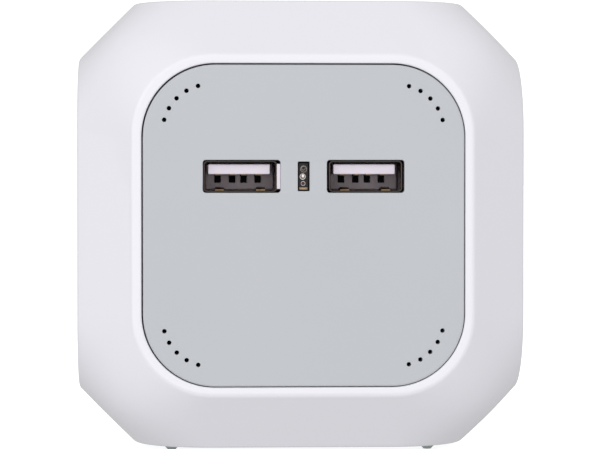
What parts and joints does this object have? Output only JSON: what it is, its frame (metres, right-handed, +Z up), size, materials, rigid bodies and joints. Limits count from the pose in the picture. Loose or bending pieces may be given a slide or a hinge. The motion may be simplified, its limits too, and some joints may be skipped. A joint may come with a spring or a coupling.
{
  "type": "desk power strip",
  "caption": "White bevelled mains power cube with round earthed outlets on its sides and top, and a light grey front panel with USB charging ports and an indicator.",
  "frame": {"origin": "centre of the footprint, on the plane of the four feet", "axes": "+Z up, -Y out of the USB face, +X to the right of that face"},
  "size_m": [0.08, 0.08, 0.0809],
  "materials": {
    "white_shell": "glossy white ABS",
    "grey_panel": "satin light grey polycarbonate",
    "screw_steel": "zinc plated",
    "black_rubber": "moulded",
    "foot_rubber": "moulded dark grey",
    "nickel": "nickel plated brass strip",
    "shutter_plastic": "moulded grey",
    "spring_steel": "bright wire",
    "inner_plastic": "natural polyamide",
    "contact_brass": "bright brass",
    "lead_cover": "PVC insulation",
    "board_green": "solder-masked glass epoxy",
    "port_steel": "nickel plated steel",
    "port_white": "moulded white",
    "ferrite": "sintered ferrite",
    "coil_tape": "yellow tape",
    "capacitor_can": "sleeved aluminium can",
    "fuse_glass": "glass tube with metal caps",
    "chip_black": "moulded epoxy",
    "led_clear": "clear epoxy lamp"
  },
  "bodies": {
    "cube": {"front_housing": "white_shell", "rear_housing": "white_shell", "housing_screws": "screw_steel", "cable_gland": "black_rubber", "front_panel": "grey_panel", "base_cover": "grey_panel", "rubber_feet": "foot_rubber", "socket_panel_left": "grey_panel", "socket_floor_left": "grey_panel", "earth_clip_left": "nickel", "shutter_spring_left": "spring_steel", "contact_carrier_left": "inner_plastic", "contacts_left": "contact_brass", "socket_panel_right": "grey_panel", "socket_floor_right": "grey_panel", "earth_clip_right": "nickel", "shutter_spring_right": "spring_steel", "contact_carrier_right": "inner_plastic", "contacts_right": "contact_brass", "socket_panel_rear": "grey_panel", "socket_floor_rear": "grey_panel", "earth_clip_rear": "nickel", "shutter_spring_rear": "spring_steel", "contact_carrier_rear": "inner_plastic", "contacts_rear": "contact_brass", "socket_panel_top": "grey_panel", "socket_floor_top": "grey_panel", "earth_clip_top": "nickel", "shutter_spring_top": "spring_steel", "contact_carrier_top": "inner_plastic", "contacts_top": "contact_brass", "line_busbar": "contact_brass", "neutral_busbar": "contact_brass", "earth_busbar": "contact_brass", "cord_terminals": "contact_brass", "terminal_screws": "screw_steel", "supply_leads": "lead_cover", "usb_board": "board_green", "board_screws": "screw_steel", "usb_shell_left": "port_steel", "usb_tongue_left": "port_white", "usb_contacts_left": "contact_brass", "usb_shell_right": "port_steel", "usb_tongue_right": "port_white", "usb_contacts_right": "contact_brass", "transformer_core": "ferrite", "transformer_coil": "coil_tape", "mains_capacitor": "capacitor_can", "output_capacitor": "capacitor_can", "fuse": "fuse_glass", "bridge_rectifier": "chip_black", "charger_chip": "chip_black", "indicator_led": "led_clear", "led_leads": "spring_steel"},
    "shutter_body_left": {"shutter_left": "shutter_plastic"},
    "shutter_body_right": {"shutter_right": "shutter_plastic"},
    "shutter_body_rear": {"shutter_rear": "shutter_plastic"},
    "shutter_body_top": {"shutter_top": "shutter_plastic"}
  },
  "joints": [
    {"name": "shutter_slide_left", "type": "slide", "parent": "cube", "child": "shutter_body_left", "axis": [0, 0, -1], "range_m": [0, 0.0062], "stiffness_N_per_m": 60, "springref_m": -0.003, "deforming": ["shutter_spring_left"]},
    {"name": "shutter_slide_right", "type": "slide", "parent": "cube", "child": "shutter_body_right", "axis": [0, 0, -1], "range_m": [0, 0.0062], "stiffness_N_per_m": 60, "springref_m": -0.003, "deforming": ["shutter_spring_right"]},
    {"name": "shutter_slide_rear", "type": "slide", "parent": "cube", "child": "shutter_body_rear", "axis": [-1, 0, 0], "range_m": [0, 0.0062], "stiffness_N_per_m": 60, "springref_m": -0.003, "deforming": ["shutter_spring_rear"]},
    {"name": "shutter_slide_top", "type": "slide", "parent": "cube", "child": "shutter_body_top", "axis": [0, -1, 0], "range_m": [0, 0.0062], "stiffness_N_per_m": 60, "springref_m": -0.003, "deforming": ["shutter_spring_top"]}
  ]
}
